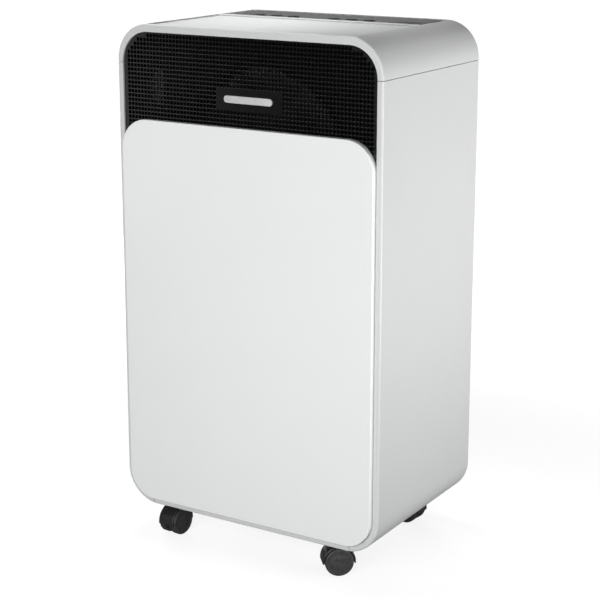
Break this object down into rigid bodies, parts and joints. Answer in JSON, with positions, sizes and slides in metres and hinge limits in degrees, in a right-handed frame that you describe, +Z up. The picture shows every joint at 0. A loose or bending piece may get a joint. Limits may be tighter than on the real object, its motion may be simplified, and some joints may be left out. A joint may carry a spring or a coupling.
{
  "type": "dehumidifier",
  "caption": "Portable compressor dehumidifier: rounded upright cabinet on swivel castors, front air grille, top control strip, rear intake filter and pull-out water bucket.",
  "frame": {"origin": "on the floor under the middle of the cabinet", "axes": "+Z up, the front panel faces -Y, +X to the right seen from the front"},
  "size_m": [0.35, 0.244, 0.624],
  "materials": {
    "shell_white": "fine satin moulding",
    "panel_white": "smooth semi-gloss",
    "grille_black": "gloss",
    "badge_silver": "brushed",
    "strip_grey": "semi-gloss",
    "button_dark": "satin",
    "lens_dark": "gloss",
    "castor_black": "satin",
    "wheel_black": "satin",
    "steel": "bright",
    "inner_grey": "matt",
    "fan_grey": "satin",
    "motor_steel": "satin",
    "fin_aluminium": "bright",
    "compressor_black": "semi-gloss",
    "foot_rubber": "matt",
    "pipe_copper": "bright",
    "board_green": "satin",
    "capacitor_can": "satin",
    "switch_black": "satin",
    "bucket_grey": "translucent satin",
    "handle_grey": "satin",
    "float_white": "foam",
    "filter_mesh": "woven net",
    "filter_frame": "satin",
    "screw_steel": "bright"
  },
  "bodies": {
    "cabinet": {"side_panel_right": "shell_white", "side_panel_left": "shell_white", "base_pan": "shell_white", "top_cover": "shell_white", "rear_panel": "shell_white", "bulkhead": "inner_grey", "front_panel": "panel_white", "front_grille": "grille_black", "badge_plate": "badge_silver", "top_deck": "shell_white", "control_panel": "strip_grey", "display_window": "lens_dark", "control_board": "board_green", "fan_shroud": "inner_grey", "fan_motor": "motor_steel", "motor_bracket": "inner_grey", "evaporator": "fin_aluminium", "condenser": "fin_aluminium", "compressor": "compressor_black", "compressor_feet": "foot_rubber", "refrigerant_pipes": "pipe_copper", "main_board": "board_green", "run_capacitor": "capacitor_can", "level_switch": "switch_black", "power_inlet": "switch_black", "drip_tray": "inner_grey", "rear_screws": "screw_steel"},
    "castor_front_left": {"castor_hood_front_left": "castor_black", "castor_pins_front_left": "steel"},
    "wheel_front_left_a": {"castor_wheel_front_left_a": "wheel_black"},
    "wheel_front_left_b": {"castor_wheel_front_left_b": "wheel_black"},
    "castor_front_right": {"castor_hood_front_right": "castor_black", "castor_pins_front_right": "steel"},
    "wheel_front_right_a": {"castor_wheel_front_right_a": "wheel_black"},
    "wheel_front_right_b": {"castor_wheel_front_right_b": "wheel_black"},
    "castor_rear_left": {"castor_hood_rear_left": "castor_black", "castor_pins_rear_left": "steel"},
    "wheel_rear_left_a": {"castor_wheel_rear_left_a": "wheel_black"},
    "wheel_rear_left_b": {"castor_wheel_rear_left_b": "wheel_black"},
    "castor_rear_right": {"castor_hood_rear_right": "castor_black", "castor_pins_rear_right": "steel"},
    "wheel_rear_right_a": {"castor_wheel_rear_right_a": "wheel_black"},
    "wheel_rear_right_b": {"castor_wheel_rear_right_b": "wheel_black"},
    "fan": {"fan_wheel": "fan_grey", "fan_shaft": "steel"},
    "button_power": {"button_power": "button_dark"},
    "button_mode": {"button_mode": "button_dark"},
    "button_fan_speed": {"button_fan_speed": "button_dark"},
    "button_timer": {"button_timer": "button_dark"},
    "button_humidity_up": {"button_humidity_up": "button_dark"},
    "button_humidity_down": {"button_humidity_down": "button_dark"},
    "bucket": {"bucket": "bucket_grey", "bucket_front": "shell_white", "bucket_lid": "bucket_grey"},
    "handle": {"bucket_handle": "handle_grey"},
    "float": {"float": "float_white"},
    "intake_cassette": {"rear_grille": "shell_white", "filter_frame": "filter_frame", "filter_mesh": "filter_mesh"},
    "drain_cap": {"drain_cap": "castor_black"}
  },
  "joints": [
    {"name": "castor_swivel_front_left", "type": "hinge", "parent": "cabinet", "child": "castor_front_left", "pos_m": [-0.118, -0.087, 0.03], "axis": [0, 0, 1], "continuous": true},
    {"name": "castor_spin_front_left_a", "type": "hinge", "parent": "castor_front_left", "child": "wheel_front_left_a", "pos_m": [-0.11887, -0.09696, 0.017], "axis": [0.9962, -0.0872, 0], "continuous": true},
    {"name": "castor_spin_front_left_b", "type": "hinge", "parent": "castor_front_left", "child": "wheel_front_left_b", "pos_m": [-0.11887, -0.09696, 0.017], "axis": [0.9962, -0.0872, 0], "continuous": true},
    {"name": "castor_swivel_front_right", "type": "hinge", "parent": "cabinet", "child": "castor_front_right", "pos_m": [0.118, -0.087, 0.03], "axis": [0, 0, 1], "continuous": true},
    {"name": "castor_spin_front_right_a", "type": "hinge", "parent": "castor_front_right", "child": "wheel_front_right_a", "pos_m": [0.11034, -0.09343, 0.017], "axis": [0.6428, -0.766, 0], "continuous": true},
    {"name": "castor_spin_front_right_b", "type": "hinge", "parent": "castor_front_right", "child": "wheel_front_right_b", "pos_m": [0.11034, -0.09343, 0.017], "axis": [0.6428, -0.766, 0], "continuous": true},
    {"name": "castor_swivel_rear_left", "type": "hinge", "parent": "cabinet", "child": "castor_rear_left", "pos_m": [-0.118, 0.087, 0.03], "axis": [0, 0, 1], "continuous": true},
    {"name": "castor_spin_rear_left_a", "type": "hinge", "parent": "castor_rear_left", "child": "wheel_rear_left_a", "pos_m": [-0.11226, 0.07881, 0.017], "axis": [0.8192, 0.5736, 0], "continuous": true},
    {"name": "castor_spin_rear_left_b", "type": "hinge", "parent": "castor_rear_left", "child": "wheel_rear_left_b", "pos_m": [-0.11226, 0.07881, 0.017], "axis": [0.8192, 0.5736, 0], "continuous": true},
    {"name": "castor_swivel_rear_right", "type": "hinge", "parent": "cabinet", "child": "castor_rear_right", "pos_m": [0.118, 0.087, 0.03], "axis": [0, 0, 1], "continuous": true},
    {"name": "castor_spin_rear_right_a", "type": "hinge", "parent": "castor_rear_right", "child": "wheel_rear_right_a", "pos_m": [0.10802, 0.0877, 0.017], "axis": [-0.0698, -0.9976, 0], "continuous": true},
    {"name": "castor_spin_rear_right_b", "type": "hinge", "parent": "castor_rear_right", "child": "wheel_rear_right_b", "pos_m": [0.10802, 0.0877, 0.017], "axis": [-0.0698, -0.9976, 0], "continuous": true},
    {"name": "fan_spin", "type": "hinge", "parent": "cabinet", "child": "fan", "pos_m": [0, -0.06, 0.468], "axis": [0, 1, 0], "continuous": true},
    {"name": "press_power", "type": "slide", "parent": "cabinet", "child": "button_power", "axis": [0, 0, -1], "range_m": [0, 0.0012], "stiffness_N_per_m": 500, "springref_m": -0.001},
    {"name": "press_mode", "type": "slide", "parent": "cabinet", "child": "button_mode", "axis": [0, 0, -1], "range_m": [0, 0.0012], "stiffness_N_per_m": 500, "springref_m": -0.001},
    {"name": "press_fan_speed", "type": "slide", "parent": "cabinet", "child": "button_fan_speed", "axis": [0, 0, -1], "range_m": [0, 0.0012], "stiffness_N_per_m": 500, "springref_m": -0.001},
    {"name": "press_timer", "type": "slide", "parent": "cabinet", "child": "button_timer", "axis": [0, 0, -1], "range_m": [0, 0.0012], "stiffness_N_per_m": 500, "springref_m": -0.001},
    {"name": "press_humidity_up", "type": "slide", "parent": "cabinet", "child": "button_humidity_up", "axis": [0, 0, -1], "range_m": [0, 0.0012], "stiffness_N_per_m": 500, "springref_m": -0.001},
    {"name": "press_humidity_down", "type": "slide", "parent": "cabinet", "child": "button_humidity_down", "axis": [0, 0, -1], "range_m": [0, 0.0012], "stiffness_N_per_m": 500, "springref_m": -0.001},
    {"name": "bucket_slide", "type": "slide", "parent": "cabinet", "child": "bucket", "axis": [0, 1, 0], "range_m": [0, 0.13]},
    {"name": "handle_fold", "type": "hinge", "parent": "bucket", "child": "handle", "pos_m": [0, 0.031, 0.256], "axis": [1, 0, 0], "range_deg": [0, 90]},
    {"name": "float_lift", "type": "hinge", "parent": "bucket", "child": "float", "pos_m": [-0.1, 0.021, 0.225], "axis": [1, 0, 0], "range_deg": [0, 12]},
    {"name": "cassette_lift", "type": "slide", "parent": "cabinet", "child": "intake_cassette", "axis": [0, 0, 1], "range_m": [0, 0.27]},
    {"name": "drain_cap_pull", "type": "slide", "parent": "cabinet", "child": "drain_cap", "axis": [0, 1, 0], "range_m": [0, 0.02]}
  ]
}
